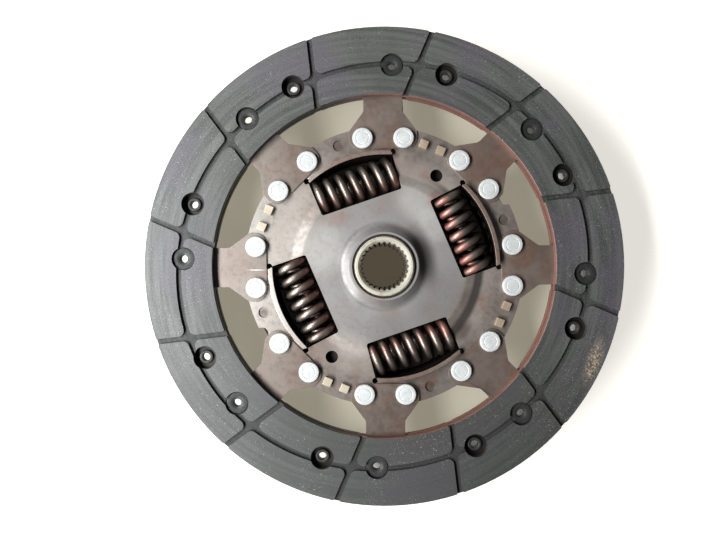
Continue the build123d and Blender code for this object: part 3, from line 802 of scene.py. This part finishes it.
# Two darker patches on the plateau at the lower right.
LOWER_RIGHT_DARK = marks(srgb(88, 86, 84), (31, 328, (15, 24), 0.24), (31, 272, (12, 14), 0.2))
RUSTED = [((-22, 22.5), (9, 5), 20, srgb(148, 108, 98), 0.34),
          ((24.4, 32.4), (6.5, 5), 60, srgb(156, 108, 94), 0.4),
          ((-8, 60), (9, 4), 5, srgb(140, 104, 90), 0.3)]
# Painted shade on the step at the lower right.
STEP_SHADE = [((37.6, -31.4), (4.5, 8), -40, srgb(48, 44, 41), 0.5)]
# Painted shadow of the collar, cast towards +X.
COLLAR_SHADOW = marks(srgb(38, 33, 29), (18.5, 16, (8.6, 19.0), 0.85))
# A thin pale radial line on the segment at the left.
PALE_LINE = [((-61.1, -1.8), (6.0, 0.3), 0, srgb(236, 232, 226), 1.0)]

LOOKS = {
    "friction_lining": lining_material(),
    "plate_steel": sheet_material(
        "plate steel", srgb(164, 155, 147), srgb(134, 122, 114), srgb(146, 112, 98), 0.14, 0.42,
        metallic=0.7, centre=srgb(146, 146, 145), light_west=srgb(190, 186, 178),
        patches=IN_DIMPLES + PAINTED_HIGHLIGHTS + LOWER_RIGHT_DARK + RUSTED + STEP_SHADE + COLLAR_SHADOW),
    "segment_steel": sheet_material(
        "segment steel", srgb(142, 129, 120), srgb(114, 101, 92), srgb(128, 98, 82), 0.2, 0.44,
        light_west=srgb(150, 141, 134), shade_past_mm=83.5, patches=PALE_LINE),
    "spacer_steel": sheet_material(
        "spacer steel", srgb(224, 211, 190), srgb(186, 172, 150), srgb(160, 126, 104), 0.1, 0.45,
        metallic=0.15, shade_east=srgb(140, 118, 100)),
    "flange_steel": sheet_material(
        "flange steel", srgb(36, 32, 30), srgb(26, 23, 21), srgb(40, 30, 26), 0.16, 0.5),
    "spring_steel": spring_material(),
    "rivet_metal": rivet_material(),
    "tubular_rivet": dark_rivet_material(),
    "hub_steel": hub_material(),
    "bush_plastic": moulded_material("dark bush", srgb(46, 42, 38), srgb(34, 31, 29)),
    "washer_friction": moulded_material("friction washer", srgb(58, 54, 50), srgb(42, 40, 38)),
    "washer_steel": sheet_material(
        "washer steel", srgb(120, 116, 112), srgb(92, 88, 84), srgb(100, 76, 64), 0.12, 0.45),
}


def dress(piece, slot, look=None):
    """Gives a piece the material of its slot, or of the look given instead."""
    piece.data.materials.clear()
    piece.data.materials.append(LOOKS[look or slot])


def stands_for(piece, node, slot, body="disc", look=None):
    """The piece replaces a solid, rides on its body and takes its slot's material."""
    dress(piece, slot, look)
    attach(piece, body)
    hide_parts(node)


# ---- The pieces ----

for node, name, worn_mm, corner_steps in (("front_facing", "front_lining", 0.45, 3),
                                          ("rear_facing", "rear_lining", 0.3, 2)):
    lining = softened(node, name, width_mm=worn_mm, segments=corner_steps)
    stands_for(lining, node, "friction_lining")
for node, name in (("front_guide_plate", "front_plate"), ("rear_guide_plate", "rear_plate")):
    plate = softened(node, name, width_mm=0.22)
    mark_shaded(plate)
    stands_for(plate, node, "plate_steel")
for i in range(1, 9):
    node = f"cushion_segment_{i}"
    stands_for(softened(node, f"segment_{i}", width_mm=0.12), node, "segment_steel")
for i in range(1, 5):
    node = f"spacer_{i}"
    stands_for(softened(node, f"stop_plate_{i}", width_mm=0.3), node, "spacer_steel")
stands_for(softened("spline_hub", "toothed_hub", width_mm=0.15, sharper_than_deg=35),
           "spline_hub", "hub_steel", body="hub")
stands_for(softened("hub_flange", "flange", width_mm=0.2, reshape=make_room), "hub_flange",
           "flange_steel", body="hub")


def lay_spring(node, name, degrees, size):
    """A coil in its window, in place of a spring's solid."""
    piece = coil(name, degrees, **size)
    stands_for(piece, node, "spring_steel", body="springs")
    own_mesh(piece)


for i, degrees in enumerate(SPRING_DEG, 1):
    lay_spring(f"damper_spring_{i}", f"damper_coil_{i}", degrees, SPRING_MM)
for i, degrees in enumerate(NESTED_DEG, 1):
    lay_spring(f"inner_spring_{i}", f"inner_coil_{i}", degrees, NESTED_MM)


def flat_headed():
    """Profile of a segment's rivet from the flange's middle up, (radius, height, rounding).

    Its tail is pressed flat, and its head has a shallow pressed ring.
    """
    axis, shank, tail, head = 0.001, 2.5, 3.8, 4.9
    tail_face, tail_top, seat, top = 3.4, 4.6, 7.4, 9.3
    pressed = [(3.3, top, 0.1), (3.05, 9.12, 0.1), (2.8, 9.28, 0.1)]
    return rounded([
        (axis, tail_face), (tail, tail_face, 0.5), (tail, tail_top), (shank, tail_top),
        (shank, seat), (head, seat, 0.15), (head, top - 0.1, 0.45), *pressed, (axis, top),
    ])


def tubular(under_head, tail_face):
    """Profile of a tubular rivet, head up, its tail rolled over like a bead.

    Both heights are from the flange's middle, towards the side that the head is on.
    """
    hole, shank, bead, head = 1.8, 2.5, 3.3, 5.15
    tail_end, head_top = tail_face - 1.1, under_head + 0.7
    return rounded([
        (hole, tail_end, 0.4), (bead, tail_end, 0.5), (bead, tail_face, 0.15),
        (shank, tail_face), (shank, under_head), (head, under_head, 0.1), (head, head_top, 0.2),
        (3.2, head_top, 0.4), (hole, under_head + 0.4, 0.3),
    ])


heads = set_round("segment_rivet_heads", flat_headed(), steps=56,
                  circle_mm=SEGMENT_RIVET_CIRCLE_MM, degrees=SEGMENT_RIVET_DEG)
stands_for(heads, "segment_rivets", "rivet_metal")
front = set_round("front_tubular_rivets", tubular(under_head=8.7, tail_face=6.6), steps=48,
                  circle_mm=FACING_RIVET_CIRCLE_MM, degrees=FRONT_HEADED_DEG)
stands_for(front, "front_facing_rivets", "rivet_metal", look="tubular_rivet")
rear = set_round("rear_tubular_rivets", tubular(under_head=-4.7, tail_face=-6.8), steps=48,
                 circle_mm=FACING_RIVET_CIRCLE_MM, degrees=REAR_HEADED_DEG, mirrored=True)
stands_for(rear, "rear_facing_rivets", "rivet_metal", look="tubular_rivet")

for node, slot in (("centring_bush", "bush_plastic"), ("friction_washer", "washer_friction"),
                   ("thrust_washer", "washer_steel"), ("disc_spring", "washer_steel")):
    dress(NODES[node], slot)

# ---- Floor, light and camera ----

FLOOR_SIZE = 6.0
WINDOW_PLACE = (-0.38, -0.07, 0.42)
WINDOW_AIM = (0, 0, 0.02)
WINDOW_SIZE = (0.75, 0.15)
WINDOW_POWER = 8.5
WINDOW_COLOUR = (0.965, 0.985, 1.0)
ROOM_COLOUR = (0.93, 0.96, 1.0, 1)
ROOM_STRENGTH = 0.05
CAMERA_ACROSS = (-0.0116, -0.0018)
CAMERA_HEIGHT = 0.290                   # above the linings' front face
SENSOR_MM = 36.0
LENS_MM = 30.54

bpy.ops.mesh.primitive_plane_add(size=FLOOR_SIZE)
floor = bpy.context.object
floor.name = "floor"
floor.data.materials.append(floor_material())

panel = bpy.data.lights.new("window_light", "AREA")
panel.shape = "RECTANGLE"
panel.size, panel.size_y = WINDOW_SIZE
panel.energy = WINDOW_POWER
panel.color = WINDOW_COLOUR
window = bpy.data.objects.new("window_light", panel)
bpy.context.scene.collection.objects.link(window)
window.location = WINDOW_PLACE
window.rotation_euler = (Vector(WINDOW_AIM) - Vector(WINDOW_PLACE)).to_track_quat(
    "-Z", "Y").to_euler()

world = bpy.data.worlds.new("room")
bpy.context.scene.world = world
world.use_nodes = True
background = world.node_tree.nodes["Background"]
background.inputs["Color"].default_value = ROOM_COLOUR
background.inputs["Strength"].default_value = ROOM_STRENGTH

lens = bpy.data.cameras.new("camera")
lens.sensor_width = SENSOR_MM
lens.lens = LENS_MM
lens.clip_start = 0.01
camera = bpy.data.objects.new("camera", lens)
bpy.context.scene.collection.objects.link(camera)
camera.location = (*CAMERA_ACROSS, FACING_TOP_MM / 1000 + CAMERA_HEIGHT)
bpy.context.scene.camera = camera
bpy.context.scene.view_settings.view_transform = "Standard"
